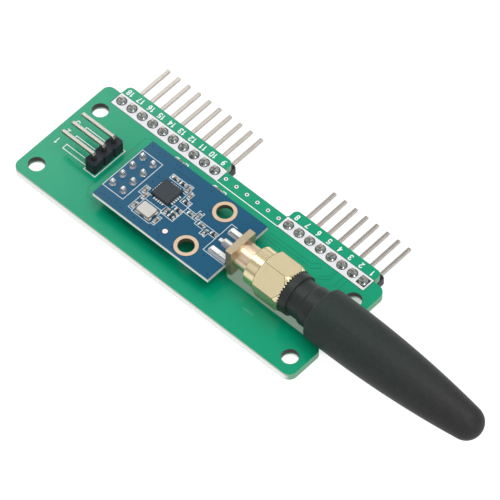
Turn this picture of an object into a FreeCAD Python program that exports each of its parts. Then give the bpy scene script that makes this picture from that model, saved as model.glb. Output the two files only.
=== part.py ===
# A small radio board plugged onto a wider carrier board, with edge pins and a screwed-on stub antenna.
# Millimetres, +Z up. The origin is the centre of the carrier board's four mounting holes, on its underside.
# X runs along the carrier towards the antenna's tip, and Y towards the edge pins.
import FreeCAD, Part
import math
import os

from FreeCAD import Vector

# Carrier board
carrier_length = 67.2
carrier_near_edge = 11.45
carrier_far_edge = 13.45
carrier_thickness = 1.6
carrier_corner = 1.7
carrier_far_left_corner = 1.5
tab_reach = 2.3
tab_margin = 1.3
tab_corner = 1.0
tab_root_corner = 0.3
mount_hole = 3.2
mount_inset_x = 3.0
mount_spacing_y = 16.3
slot_cover = 0.55
slot_width = 6.4
slot_corner = 1.3

# Pin headers, on a grid of one pitch
pitch = 2.54
pin_size = 0.64
pin_tip = 0.14
pin_fit = 0.02
strip_height = 2.54
strip_width = 2.5
strip_notch = 0.3
bend_cut = 0.4
pin_stub = 1.3

# Edge pin row: a long strip, a run of bare places and a short strip
edge_row_y = 12.25
long_strip_ways = 10
bare_ways = 6
short_strip_ways = 8
edge_strip_setback = 1.52
edge_pin_reach = 12.3

# Serial strip, upright on the carrier with its pins bent over
serial_ways = 3
serial_x = -22.55
serial_y = 0.85
serial_pin_rise = 3.9
serial_pin_reach = 7.7

# Radio board and the strip that it is plugged onto
radio_length = 27.75
radio_width = 15.4
radio_thickness = 1.0
radio_left = -17.05
radio_strip_inset = 2.45
radio_strip_ways = 4
radio_strip_rows = 2
radio_pin_stub = 1.1
radio_hole = 3.1
radio_hole_from_end = 7.73
radio_hole_inset = 2.75

# Solder round the pins, and the pin tails under the carrier
pin_neck = 0.96
edge_solder_base = 1.75
edge_solder_height = 0.75
radio_solder_base = 1.7
radio_solder_height = 0.85
tail_stub = 1.0
tail_solder_base = 1.6
tail_solder_height = 0.6

# Radio chip, a square leadless package
chip_size = 4.0
chip_height = 0.75
chip_place = (0.3550, 0.0597)
chip_leads_per_side = 5
chip_lead_pitch = 0.5
chip_lead_width = 0.26
chip_lead_toe = 0.4
chip_lead_heel = 0.35
chip_lead_height = 0.12
chip_edge = 0.12

# Crystal in a ceramic tray with a welded lid
crystal_length = 3.2
crystal_width = 2.5
crystal_tray_height = 0.4
crystal_lid_inset = 0.08
crystal_lid_height = 0.35
crystal_corner = 0.35
crystal_pad = 0.8
crystal_pad_reach = 0.1
crystal_place = (0.3575, -0.2812)

# Chip parts: length, width and height of the two sizes in use
small_chip = (1.0, 0.5, 0.35)
large_chip = (1.6, 0.8, 0.45)
chip_end_cap = 0.24
chip_cap_wall = 0.02
chip_pad_reach = 0.28
chip_pad_height = 0.08

# Chip parts on the radio board: share of its length from the left end, share of its width from the middle,
# and whether the part lies along X
capacitor_shares = [
    (0.4360, 0.2662, False),
    (0.4793, 0.2110, False),
    (0.2360, -0.0682, False),
    (0.2641, -0.1364, False),
    (0.2641, -0.2987, False),
    (0.4458, -0.2955, False),
    (0.4486, -0.1201, False),
    (0.3153, 0.2857, True),
]
inductor_shares = [
    (0.6270, 0.0714, False),
    (0.5766, 0.0357, True),
    (0.6865, 0.0032, True),
    (0.7405, -0.0422, False),
    (0.4991, -0.0844, True),
]
resistor_shares = [
    (0.3838, 0.2825, True),
    (0.4973, 0.1169, True),
    (0.7928, 0.0032, True),
    (0.5009, -0.1429, True),
    (0.4991, -0.0260, True),
]

# Larger chip parts on the carrier: places on X, and how far in from its far edge
carrier_chip_row_x = (-12.0, -2.85)
carrier_chip_inset = 4.25

# Edge connector, with its axis above the radio board
socket_axis_height = 0.9
flange_size = 6.35
flange_thickness = 1.4
flange_edge = 0.12
leg_size = 0.95
leg_reach = 3.9
leg_spacing = 5.1
leg_board_gap = 0.04
socket_neck = 5.3
socket_neck_length = 3.25
socket_thread = 6.2
socket_thread_length = 5.9
socket_thread_edge = 0.35
socket_insulator = 4.1
socket_mouth = 4.7
socket_mouth_depth = 1.95
socket_contact = 1.27
socket_contact_bore = 0.98
socket_contact_bore_depth = 2.8
socket_tail = 0.9
socket_tail_reach = 3.0
solder_bank = 0.3
solder_climb = 0.45
fit = 0.02

# Coupling nut and what it holds
nut_across_flats = 8.0
nut_skirt = 7.6
nut_skirt_length = 2.45
nut_hex_length = 5.95
nut_clearance = 0.25
nut_sides = 6
nut_turn = 35.0
nut_back_angle = 30.0
nut_front_angle = 60.0
nut_thread_clearance = 0.1
nut_lip = 1.5
plug_nose = 4.6
plug_flange = 6.1
plug_flange_gap = 0.05
plug_body = 5.4
plug_bore = 4.1
plug_pin = 0.92
plug_pin_body = 1.27
plug_pin_reach = 2.4
plug_shank_length = 3.0

# Stub antenna, from the nut's face to the tip
collar_diameter = 8.4
collar_length = 2.0
collar_gap = 0.05
neck_diameter = 7.35
neck_length = 2.0
root_diameter = 7.8
root_length = 2.9
core_stem = 4.4
core_stem_length = 22.0
sleeve_diameter = 10.32
sleeve_length = 36.4
sleeve_edge = 0.45
sleeve_swell = 4.8
sleeve_curve = 212.0
sleeve_bands = 3
tip_bands = 3
sleeve_bore = 6.2
sleeve_bore_room = 2.0
coil_wire = 0.6
coil_pitch = 3.6
coil_turns = 5
coil_steps = 8

# Levels and places worked out from the sizes above
half_carrier = carrier_length / 2
tab_edge = carrier_far_edge + tab_reach
row_ways = long_strip_ways + bare_ways + short_strip_ways
row_start = -(row_ways - 1) * pitch / 2
radio_bottom = carrier_thickness + strip_height
radio_top = radio_bottom + radio_thickness
radio_right = radio_left + radio_length
radio_strip_x = radio_left + radio_strip_inset
radio_hole_x = radio_right - radio_hole_from_end
radio_hole_spacing_y = radio_width - 2 * radio_hole_inset
mount_spacing_x = carrier_length - 2 * mount_inset_x
slot_start = radio_right - slot_cover
socket_z = radio_top + socket_axis_height
same_place = fit / 20
flange_front = radio_right + flange_thickness
nut_back = flange_front + socket_neck_length
hex_back = nut_back + nut_skirt_length
nut_front = hex_back + nut_hex_length
thread_start = nut_back + nut_clearance
thread_end = thread_start + socket_thread_length
mouth_floor = thread_end - socket_mouth_depth
collar_back = nut_front + collar_gap
core_front = collar_back + collar_length
sleeve_back = core_front + neck_length + root_length
plug_end = collar_back + plug_shank_length


def row_x(place):
    """Place along the edge pin row, counted from the long strip's outer pin."""
    return row_start + place * pitch


def on_radio_board(share_x, share_y):
    """Place on the radio board, from shares of its length and its width."""
    return radio_left + share_x * radio_length, share_y * radio_width


def rounded_outline(corners):
    """Closed wire through (x, y, radius) corners, each with a tangent arc of its own radius."""
    count = len(corners)
    arcs = []
    for index in range(count):
        x, y, radius = corners[index]
        here = Vector(x, y, 0)
        before = Vector(corners[index - 1][0], corners[index - 1][1], 0)
        after = Vector(corners[(index + 1) % count][0], corners[(index + 1) % count][1], 0)
        towards = (before - here).normalize()
        away = (after - here).normalize()
        half_turn = towards.getAngle(away) / 2
        back_off = radius / math.tan(half_turn)
        inward = (towards + away).normalize()
        middle = here + inward * (radius / math.sin(half_turn) - radius)
        arcs.append((here + towards * back_off, middle, here + away * back_off))
    edges = []
    for index in range(count):
        start, middle, end = arcs[index]
        if corners[index][2] > 0:
            edges.append(Part.Arc(start, middle, end).toShape())
        edges.append(Part.LineSegment(end, arcs[(index + 1) % count][0]).toShape())
    return Part.Wire(edges)


def plate(corners, bottom, thickness):
    """Flat plate with a rounded outline."""
    face = Part.Face(rounded_outline(corners))
    face.translate(Vector(0, 0, bottom))
    return face.extrude(Vector(0, 0, thickness))


def polygon_face(points):
    """Flat face on straight edges through (x, y, z) points."""
    return Part.Face(Part.makePolygon([Vector(*point) for point in points + points[:1]]))


def drill(shape, places, diameter, bottom, height):
    """Round holes along Z at (x, y) places."""
    tools = [Part.makeCylinder(diameter / 2, height, Vector(x, y, bottom)) for x, y in places]
    return shape.cut(tools)


def pierce(shape, places, bottom, height):
    """Close square channels for pins along Z at (x, y) places."""
    channel = pin_size + 2 * pin_fit
    tools = [centred_box(x, y, channel, channel, bottom, height) for x, y in places]
    return shape.cut(tools)


def turned(profile, axis_start, axis_direction):
    """Solid turned about an axis from a closed profile of (distance along, radius) points."""
    face = polygon_face([(along, radius, 0) for along, radius in profile])
    solid = face.revolve(Vector(0, 0, 0), Vector(1, 0, 0), 360)
    solid.Placement = FreeCAD.Placement(axis_start, FreeCAD.Rotation(Vector(1, 0, 0), axis_direction))
    return solid


def turned_on_socket(profile):
    """Solid turned about the connector's axis; distances along are places on X."""
    return turned(profile, Vector(0, 0, socket_z), Vector(1, 0, 0))


def box(x_range, y_range, z_range):
    """Box between two values on each axis."""
    size = [high - low for low, high in (x_range, y_range, z_range)]
    return Part.makeBox(size[0], size[1], size[2], Vector(x_range[0], y_range[0], z_range[0]))


def centred_box(x, y, length, width, bottom, height):
    """Box standing on a level, centred on (x, y)."""
    return box((x - length / 2, x + length / 2), (y - width / 2, y + width / 2), (bottom, bottom + height))


def export(name, solids):
    """One file for one sub-part; alike solids stay separate in a compound."""
    shape = solids[0] if len(solids) == 1 else Part.makeCompound(solids)
    shape.exportStep("parts/" + name + ".step")


# Places of everything that repeats
long_places = [(row_x(place), edge_row_y) for place in range(long_strip_ways)]
short_places = [(row_x(long_strip_ways + bare_ways + place), edge_row_y) for place in range(short_strip_ways)]
serial_places = [(serial_x, serial_y + (place - (serial_ways - 1) / 2) * pitch) for place in range(serial_ways)]
radio_strip_places = [
    (radio_strip_x + (row - (radio_strip_rows - 1) / 2) * pitch, (way - (radio_strip_ways - 1) / 2) * pitch)
    for row in range(radio_strip_rows)
    for way in range(radio_strip_ways)
]
mount_places = [
    (side_x * mount_spacing_x / 2, side_y * mount_spacing_y / 2) for side_x in (-1, 1) for side_y in (-1, 1)
]
radio_hole_places = [(radio_hole_x, side * radio_hole_spacing_y / 2) for side in (-1, 1)]
chip_x, chip_y = on_radio_board(*chip_place)
crystal_x, crystal_y = on_radio_board(*crystal_place)
capacitor_places = [(*on_radio_board(x, y), along_x) for x, y, along_x in capacitor_shares]
inductor_places = [(*on_radio_board(x, y), along_x) for x, y, along_x in inductor_shares]
resistor_places = [(*on_radio_board(x, y), along_x) for x, y, along_x in resistor_shares]
carrier_chip_places = [(x, carrier_far_edge - carrier_chip_inset, True) for x in carrier_chip_row_x]


def carrier_board():
    """Board with two pin tabs on its far edge and a slot that clears the connector and the antenna."""
    long_left = row_x(0) - tab_margin
    long_right = row_x(long_strip_ways - 1) + tab_margin
    short_left = row_x(long_strip_ways + bare_ways) - tab_margin
    short_right = row_x(row_ways - 1) + tab_margin
    corners = [
        (-half_carrier, -carrier_near_edge, carrier_corner),
        (half_carrier, -carrier_near_edge, carrier_corner),
        (half_carrier, -slot_width / 2, slot_corner),
        (slot_start, -slot_width / 2, slot_corner),
        (slot_start, slot_width / 2, slot_corner),
        (half_carrier, slot_width / 2, slot_corner),
        (half_carrier, carrier_far_edge, carrier_corner),
        (short_right, carrier_far_edge, tab_root_corner),
        (short_right, tab_edge, tab_corner),
        (short_left, tab_edge, tab_corner),
        (short_left, carrier_far_edge, tab_root_corner),
        (long_right, carrier_far_edge, tab_root_corner),
        (long_right, tab_edge, tab_corner),
        (long_left, tab_edge, tab_corner),
        (long_left, carrier_far_edge, tab_root_corner),
        (-half_carrier, carrier_far_edge, carrier_far_left_corner),
    ]
    board = plate(corners, 0, carrier_thickness)
    board = drill(board, mount_places, mount_hole, 0, carrier_thickness)
    return pierce(board, long_places + short_places + serial_places + radio_strip_places, 0, carrier_thickness)


def strip(ways, rows, height):
    """Plastic pin strip along X: each way has chamfered corners, and a square channel for each pin."""
    depth = rows * strip_width
    length = ways * pitch
    points = []
    for side in (-1, 1):
        for way in range(ways):
            start = side * (length / 2 - way * pitch)
            end = start - side * pitch
            inner = side * (depth / 2 - strip_notch)
            outer = side * depth / 2
            points += [
                (start, inner, 0),
                (start - side * strip_notch, outer, 0),
                (end + side * strip_notch, outer, 0),
                (end, inner, 0),
            ]
    outline = []
    for point in points:
        if not outline or Vector(*point).distanceToPoint(Vector(*outline[-1])) > same_place:
            outline.append(point)
    body = polygon_face(outline).extrude(Vector(0, 0, height))
    places = [
        ((way - (ways - 1) / 2) * pitch, (row - (rows - 1) / 2) * pitch) for way in range(ways) for row in range(rows)
    ]
    return pierce(body, places, 0, height)


def bent_pin(leg, reach):
    """Square pin: a leg down from the bend at the origin, and an arm from the bend along +Y."""
    half = pin_size / 2
    narrow = half - pin_tip
    side_points = [
        (0, half, -half),
        (0, half, -leg + pin_tip),
        (0, narrow, -leg),
        (0, -narrow, -leg),
        (0, -half, -leg + pin_tip),
        (0, -half, half - bend_cut),
        (0, bend_cut - half, half),
        (0, reach - pin_tip, half),
        (0, reach, narrow),
        (0, reach, -narrow),
        (0, reach - pin_tip, -half),
    ]
    pin = polygon_face(side_points).extrude(Vector(pin_size, 0, 0))
    pin.translate(Vector(-half, 0, 0))
    return pin


def straight_pin(x, y, bottom, top):
    """Square pin with a blunt point at each end."""
    half = pin_size / 2
    narrow = half - pin_tip
    side_points = [
        (-half, 0, bottom + pin_tip),
        (-narrow, 0, bottom),
        (narrow, 0, bottom),
        (half, 0, bottom + pin_tip),
        (half, 0, top - pin_tip),
        (narrow, 0, top),
        (-narrow, 0, top),
        (-half, 0, top - pin_tip),
    ]
    pin = polygon_face(side_points).extrude(Vector(0, pin_size, 0))
    pin.translate(Vector(x, y - half, 0))
    return pin


def edge_strip(places):
    """Strip on its side under the carrier, its channels along Y at the pins' level."""
    body = strip(len(places), 1, strip_height)
    body.rotate(Vector(0, 0, 0), Vector(1, 0, 0), -90)
    middle_x = (places[0][0] + places[-1][0]) / 2
    body.translate(Vector(middle_x, edge_row_y + edge_strip_setback, -strip_width / 2))
    return body


def edge_pin(x, y):
    """Right-angle pin: up through the carrier, out through the strip."""
    leg = strip_width / 2 + carrier_thickness + pin_stub
    pin = bent_pin(leg, edge_pin_reach)
    pin.rotate(Vector(0, 0, 0), Vector(0, 1, 0), 180)
    pin.translate(Vector(x, y, -strip_width / 2))
    return pin


def solder_cone(x, y, bottom, base, height):
    """Eight-sided solder cone round a pin; a negative height hangs it under a board."""
    foot = base / 2
    neck = pin_neck / 2
    rise = abs(height)
    wedge = Part.makeWedge(-foot, 0, -foot, -neck, -neck, foot, rise, foot, neck, neck)
    wedge.rotate(Vector(0, 0, 0), Vector(1, 0, 0), 90 if height > 0 else -90)
    turned_wedge = wedge.copy()
    turned_wedge.rotate(Vector(0, 0, 0), Vector(0, 0, 1), 45)
    cone = wedge.common(turned_wedge)
    cone.translate(Vector(x, y, bottom))
    return pierce(cone, [(x, y)], min(bottom, bottom + height), rise)


def serial_pin(x, y):
    """Pin up through the carrier and the strip, then bent over towards the short edge."""
    pin = bent_pin(serial_pin_rise + carrier_thickness + tail_stub, serial_pin_reach)
    pin.rotate(Vector(0, 0, 0), Vector(0, 0, 1), 90)
    pin.translate(Vector(x, y, carrier_thickness + serial_pin_rise))
    return pin


def serial_strip():
    """Three-way strip standing on the carrier."""
    body = strip(serial_ways, 1, strip_height)
    body.rotate(Vector(0, 0, 0), Vector(0, 0, 1), 90)
    body.translate(Vector(serial_x, serial_y, carrier_thickness))
    return body


def radio_strip():
    """Two-row strip between the boards."""
    body = strip(radio_strip_ways, radio_strip_rows, strip_height)
    body.rotate(Vector(0, 0, 0), Vector(0, 0, 1), 90)
    body.translate(Vector(radio_strip_x, 0, carrier_thickness))
    return body


def radio_board():
    """Radio board with channels for its strip's pins and two mounting holes."""
    middle = (radio_left + radio_right) / 2
    board = centred_box(middle, 0, radio_length, radio_width, radio_bottom, radio_thickness)
    board = drill(board, radio_hole_places, radio_hole, radio_bottom, radio_thickness)
    return pierce(board, radio_strip_places, radio_bottom, radio_thickness)


def radio_chip():
    """Leadless package with its top edges broken."""
    bottom = radio_top + chip_lead_height
    body = centred_box(chip_x, chip_y, chip_size, chip_size, bottom, chip_height)
    top_edges = [edge for edge in body.Edges if edge.BoundBox.ZMin > bottom + chip_height - same_place]
    return body.makeChamfer(chip_edge, top_edges)


def radio_chip_leads():
    """Row of leads along each side, under the package's rim and out past it."""
    leads = []
    span = (chip_leads_per_side - 1) * chip_lead_pitch
    length = chip_lead_toe + chip_lead_heel
    for quarter in range(4):
        for index in range(chip_leads_per_side):
            along = index * chip_lead_pitch - span / 2
            reach = chip_size / 2 + (chip_lead_toe - chip_lead_heel) / 2
            lead = centred_box(reach, along, length, chip_lead_width, radio_top, chip_lead_height)
            lead.rotate(Vector(0, 0, 0), Vector(0, 0, 1), 90 * quarter)
            lead.translate(Vector(chip_x, chip_y, 0))
            leads.append(lead)
    return leads


def crystal_tray():
    """Ceramic tray of the crystal."""
    bottom = radio_top + chip_pad_height
    return centred_box(crystal_x, crystal_y, crystal_length, crystal_width, bottom, crystal_tray_height)


def crystal_lid():
    """Metal lid with rounded corners."""
    half_x = crystal_length / 2 - crystal_lid_inset
    half_y = crystal_width / 2 - crystal_lid_inset
    corners = [
        (crystal_x - half_x, crystal_y - half_y, crystal_corner),
        (crystal_x + half_x, crystal_y - half_y, crystal_corner),
        (crystal_x + half_x, crystal_y + half_y, crystal_corner),
        (crystal_x - half_x, crystal_y + half_y, crystal_corner),
    ]
    return plate(corners, radio_top + chip_pad_height + crystal_tray_height, crystal_lid_height)


def crystal_pads():
    """Four soldered corner pads that stick out from under the tray."""
    pads = []
    for side_x in (-1, 1):
        for side_y in (-1, 1):
            x = crystal_x + side_x * (crystal_length / 2 - crystal_pad / 2 + crystal_pad_reach)
            y = crystal_y + side_y * (crystal_width / 2 - crystal_pad / 2 + crystal_pad_reach)
            pads.append(centred_box(x, y, crystal_pad, crystal_pad, radio_top, chip_pad_height))
    return pads


def chip_body(size, place, board_top):
    """Ceramic body of a chip part, between its two end caps."""
    length, width, height = size
    x, y, along_x = place
    bare = length - 2 * chip_end_cap
    inner_width = width - 2 * chip_cap_wall
    level = board_top + chip_pad_height + chip_cap_wall
    inner_height = height - 2 * chip_cap_wall
    if along_x:
        return centred_box(x, y, bare, inner_width, level, inner_height)
    return centred_box(x, y, inner_width, bare, level, inner_height)


def chip_caps(size, place, board_top):
    """Two tinned end caps of a chip part."""
    length, width, height = size
    x, y, along_x = place
    bottom = board_top + chip_pad_height
    caps = []
    for side in (-1, 1):
        shift = side * (length - chip_end_cap) / 2
        if along_x:
            caps.append(centred_box(x + shift, y, chip_end_cap, width, bottom, height))
        else:
            caps.append(centred_box(x, y + shift, width, chip_end_cap, bottom, height))
    return caps


def chip_pads(size, place, board_top):
    """Two soldered pads of a chip part, each a low wedge that rises to its end cap."""
    length, width, height = size
    x, y, along_x = place
    inner = length / 2 - chip_end_cap
    profile = [
        (inner, 0, board_top),
        (length / 2 + chip_pad_reach, 0, board_top),
        (length / 2 + chip_pad_reach, 0, board_top + chip_pad_height / 2),
        (length / 2, 0, board_top + chip_pad_height),
        (inner, 0, board_top + chip_pad_height),
    ]
    wide = width + chip_pad_reach / 2
    pads = []
    for turn in (0, 180):
        one = polygon_face(profile).extrude(Vector(0, wide, 0))
        one.translate(Vector(0, -wide / 2, 0))
        one.rotate(Vector(0, 0, 0), Vector(0, 0, 1), turn if along_x else turn + 90)
        one.translate(Vector(x, y, 0))
        pads.append(one)
    return pads


def socket_body():
    """Edge connector in one piece: square flange, four board legs, neck and threaded barrel."""
    half = flange_size / 2
    flange = box((radio_right, flange_front), (-half, half), (socket_z - half, socket_z + half))
    long_edges = [edge for edge in flange.Edges if edge.Length < flange_thickness + same_place]
    body = flange.makeChamfer(flange_edge, long_edges)
    barrel = turned_on_socket([
        (flange_front, 0),
        (flange_front, socket_neck / 2),
        (thread_start, socket_neck / 2),
        (thread_start, socket_thread / 2),
        (thread_end - socket_thread_edge, socket_thread / 2),
        (thread_end, socket_thread / 2 - socket_thread_edge),
        (thread_end, 0),
    ])
    body = body.fuse(barrel)
    for side in (-1, 1):
        side_y = side * leg_spacing / 2
        y_range = (side_y - leg_size / 2, side_y + leg_size / 2)
        upper = radio_top + leg_board_gap
        lower = radio_bottom - leg_board_gap
        body = body.fuse(box((radio_right - leg_reach, radio_right), y_range, (upper, upper + leg_size)))
        body = body.fuse(box((radio_right - leg_reach, radio_right), y_range, (lower - leg_size, lower)))
    bore = turned_on_socket([
        (radio_right, 0),
        (radio_right, socket_insulator / 2 + fit),
        (mouth_floor, socket_insulator / 2 + fit),
        (mouth_floor, socket_mouth / 2),
        (thread_end, socket_mouth / 2),
        (thread_end, 0),
    ])
    return body.cut(bore).removeSplitter()


def socket_insulator_plug():
    """White insulator that fills the connector up to the floor of its mouth."""
    return turned_on_socket([
        (radio_right, socket_contact / 2 + fit),
        (radio_right, socket_insulator / 2),
        (mouth_floor, socket_insulator / 2),
        (mouth_floor, socket_contact / 2 + fit),
    ])


def socket_contact_pin():
    """Centre contact: a thin tail on the board, a thick body and a bore for the plug's pin."""
    return turned_on_socket([
        (radio_right - socket_tail_reach, 0),
        (radio_right - socket_tail_reach, socket_tail / 2),
        (radio_right, socket_tail / 2),
        (radio_right, socket_contact / 2),
        (mouth_floor, socket_contact / 2),
        (mouth_floor, socket_contact_bore / 2),
        (mouth_floor - socket_contact_bore_depth, socket_contact_bore / 2),
        (mouth_floor - socket_contact_bore_depth, 0),
    ])


def solder_bank_along(x_range, y, half_width, foot, top):
    """Bank of solder with sloped flanks along a leg or a tail that lies on the radio board."""
    profile = [
        (x_range[0], y - half_width - solder_bank, foot),
        (x_range[0], y - half_width, top),
        (x_range[0], y + half_width, top),
        (x_range[0], y + half_width + solder_bank, foot),
    ]
    return polygon_face(profile).extrude(Vector(x_range[1] - x_range[0], 0, 0))


def leg_solder():
    """Solder banked round the two upper legs, the two lower legs and the centre contact's tail."""
    body = socket_body()
    solids = []
    climb = leg_board_gap + leg_size * solder_climb
    x_range = (radio_right - leg_reach - solder_bank, radio_right - solder_bank / 2)
    for side in (-1, 1):
        for foot, sign in ((radio_top, 1), (radio_bottom, -1)):
            bank = solder_bank_along(x_range, side * leg_spacing / 2, leg_size / 2, foot, foot + sign * climb)
            solids.append(bank.cut(body))
    x_range = (radio_right - socket_tail_reach - solder_bank, radio_right - solder_bank)
    bank = solder_bank_along(x_range, 0, socket_tail / 2, radio_top, socket_z)
    solids.append(bank.cut(socket_contact_pin()))
    return solids


def coupling_nut():
    """Nut of the antenna: a round skirt, a hexagon with both ends turned to a cone, and a lip inside its front."""
    half_side_angle = 180 / nut_sides
    corner_radius = nut_across_flats / 2 / math.cos(math.radians(half_side_angle))
    hexagon = []
    for corner in range(nut_sides):
        angle = math.radians(nut_turn + half_side_angle * (2 * corner + 1))
        hexagon.append((hex_back, -math.sin(angle) * corner_radius, socket_z + math.cos(angle) * corner_radius))
    prism = polygon_face(hexagon).extrude(Vector(nut_hex_length, 0, 0))
    flat = nut_across_flats / 2
    back_run = (corner_radius - flat) * math.tan(math.radians(nut_back_angle))
    front_run = (corner_radius - flat) * math.tan(math.radians(nut_front_angle))
    cone = turned_on_socket([
        (hex_back, 0),
        (hex_back, flat),
        (hex_back + back_run, corner_radius),
        (nut_front - front_run, corner_radius),
        (nut_front, flat),
        (nut_front, 0),
    ])
    skirt = turned_on_socket([
        (nut_back, 0),
        (nut_back, nut_skirt / 2),
        (hex_back, nut_skirt / 2),
        (hex_back, 0),
    ])
    thread_radius = socket_thread / 2 + nut_thread_clearance
    lip_radius = plug_body / 2 + nut_thread_clearance
    bore = turned_on_socket([
        (nut_back, 0),
        (nut_back, thread_radius),
        (nut_front - nut_lip, thread_radius),
        (nut_front - nut_lip, lip_radius),
        (nut_front, lip_radius),
        (nut_front, 0),
    ])
    return prism.common(cone).fuse(skirt).cut(bore).removeSplitter()


def plug_ferrule():
    """Plug: a nose down to the floor of the connector's mouth, a flange that the nut's lip pulls, and a shank."""
    return turned_on_socket([
        (mouth_floor, plug_bore / 2),
        (mouth_floor, plug_nose / 2),
        (thread_end + plug_flange_gap, plug_nose / 2),
        (thread_end + plug_flange_gap, plug_flange / 2),
        (nut_front - nut_lip, plug_flange / 2),
        (nut_front - nut_lip, plug_body / 2),
        (plug_end, plug_body / 2),
        (plug_end, plug_bore / 2),
    ])


def plug_insulator():
    """White insulator inside the plug."""
    return turned_on_socket([
        (mouth_floor, plug_pin_body / 2 + fit),
        (mouth_floor, plug_bore / 2 - fit),
        (plug_end, plug_bore / 2 - fit),
        (plug_end, plug_pin_body / 2 + fit),
    ])


def plug_pin_contact():
    """Plug's centre pin, from the connector's contact to the end of the plug's shank."""
    return turned_on_socket([
        (mouth_floor - plug_pin_reach, 0),
        (mouth_floor - plug_pin_reach, plug_pin / 2),
        (mouth_floor, plug_pin / 2),
        (mouth_floor, plug_pin_body / 2),
        (plug_end, plug_pin_body / 2),
        (plug_end, 0),
    ])


def antenna_core():
    """Black moulded core: collar, neck, root and the stem that the coil is wound on."""
    neck_end = core_front + neck_length
    return turned_on_socket([
        (collar_back, plug_body / 2 + fit),
        (collar_back, collar_diameter / 2),
        (core_front, collar_diameter / 2),
        (core_front, neck_diameter / 2),
        (neck_end, neck_diameter / 2),
        (neck_end, root_diameter / 2),
        (sleeve_back - fit, root_diameter / 2),
        (sleeve_back - fit, core_stem / 2),
        (sleeve_back + core_stem_length, core_stem / 2),
        (sleeve_back + core_stem_length, 0),
        (plug_end, 0),
        (plug_end, plug_body / 2 + fit),
    ])


def coil_section(step):
    """Corners of the coil's square wire after a number of steps round the stem."""
    angle = 2 * math.pi * step / coil_steps
    along = sleeve_back + coil_wire + coil_pitch * step / coil_steps
    inner = (core_stem / 2 + fit) / math.cos(math.pi / coil_steps)
    outward = Vector(0, math.cos(angle), math.sin(angle))
    middle = Vector(along, 0, socket_z)
    side = Vector(coil_wire / 2, 0, 0)
    near = middle + outward * inner
    far = middle + outward * (inner + coil_wire)
    return [near - side, near + side, far + side, far - side]


def antenna_coil():
    """Wire coil wound on the core's stem, in short straight steps because the sleeve hides it."""
    sections = [coil_section(step) for step in range(coil_steps * coil_turns + 1)]
    faces = [polygon_face(sections[0]), polygon_face(sections[-1])]
    for near, far in zip(sections, sections[1:]):
        for side in range(4):
            after = (side + 1) % 4
            faces.append(polygon_face([near[side], near[after], far[after]]))
            faces.append(polygon_face([near[side], far[after], far[side]]))
    shell = Part.Shell(faces)
    shell.sewShape()
    return Part.Solid(shell)


def antenna_sleeve():
    """Rubber sleeve: straight at first, then one long swelling curve that runs into a tip round as a ball."""
    sleeve_front = sleeve_back + sleeve_length
    full = sleeve_diameter / 2
    centre_x = sleeve_back + sleeve_swell
    centre_drop = sleeve_curve - full
    # The ball's centre lies on the axis, and the ball touches the long curve from inside
    reach = sleeve_front - centre_x
    ball = (sleeve_curve ** 2 - centre_drop ** 2 - reach ** 2) / (2 * (sleeve_curve - reach))
    lean = math.atan2(sleeve_front - ball - centre_x, centre_drop)
    bore_end = sleeve_back + core_stem_length + sleeve_bore_room
    profile = [
        (bore_end, 0),
        (bore_end, sleeve_bore / 2),
        (sleeve_back, sleeve_bore / 2),
        (sleeve_back, full - sleeve_edge),
        (sleeve_back + sleeve_edge, full),
    ]
    for step in range(sleeve_bands + 1):
        angle = lean * step / sleeve_bands
        profile.append((centre_x + sleeve_curve * math.sin(angle), sleeve_curve * math.cos(angle) - centre_drop))
    for step in range(1, tip_bands):
        angle = lean + (math.pi / 2 - lean) * step / tip_bands
        profile.append((sleeve_front - ball + ball * math.sin(angle), ball * math.cos(angle)))
    profile.append((sleeve_front, 0))
    return turned_on_socket(profile)


def all_of(make, size, places, board_top):
    """Solids that a chip-part function makes at every place."""
    solids = []
    for place in places:
        made = make(size, place, board_top)
        solids += made if isinstance(made, list) else [made]
    return solids


os.makedirs("parts", exist_ok=True)
carrier_top = carrier_thickness
edge_places = long_places + short_places
tail_places = radio_strip_places + serial_places

export("carrier_board", [carrier_board()])
export("edge_strip_long", [edge_strip(long_places)])
export("edge_strip_short", [edge_strip(short_places)])
export("edge_pins_long", [edge_pin(x, y) for x, y in long_places])
export("edge_pins_short", [edge_pin(x, y) for x, y in short_places])
export("edge_solder", [solder_cone(x, y, carrier_top, edge_solder_base, edge_solder_height) for x, y in edge_places])
export("serial_strip", [serial_strip()])
export("serial_pins", [serial_pin(x, y) for x, y in serial_places])
export("tail_solder", [solder_cone(x, y, 0, tail_solder_base, -tail_solder_height) for x, y in tail_places])
export("radio_strip", [radio_strip()])
export("radio_strip_pins", [straight_pin(x, y, -tail_stub, radio_top + radio_pin_stub) for x, y in radio_strip_places])
cones = [solder_cone(x, y, radio_top, radio_solder_base, radio_solder_height) for x, y in radio_strip_places]
export("radio_strip_solder", cones)
export("radio_board", [radio_board()])
export("radio_chip", [radio_chip()])
export("radio_chip_leads", radio_chip_leads())
export("crystal_tray", [crystal_tray()])
export("crystal_lid", [crystal_lid()])
export("crystal_pads", crystal_pads())
export("capacitor_bodies", all_of(chip_body, small_chip, capacitor_places, radio_top))
export("capacitor_caps", all_of(chip_caps, small_chip, capacitor_places, radio_top))
export("inductor_bodies", all_of(chip_body, small_chip, inductor_places, radio_top))
export("inductor_caps", all_of(chip_caps, small_chip, inductor_places, radio_top))
export("resistor_bodies", all_of(chip_body, small_chip, resistor_places, radio_top))
export("resistor_caps", all_of(chip_caps, small_chip, resistor_places, radio_top))
small_places = capacitor_places + inductor_places + resistor_places
export("chip_pads", all_of(chip_pads, small_chip, small_places, radio_top))
export("carrier_chip_bodies", all_of(chip_body, large_chip, carrier_chip_places, carrier_top))
export("carrier_chip_caps", all_of(chip_caps, large_chip, carrier_chip_places, carrier_top))
export("carrier_chip_pads", all_of(chip_pads, large_chip, carrier_chip_places, carrier_top))
export("socket_body", [socket_body()])
export("socket_insulator", [socket_insulator_plug()])
export("socket_contact", [socket_contact_pin()])
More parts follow.
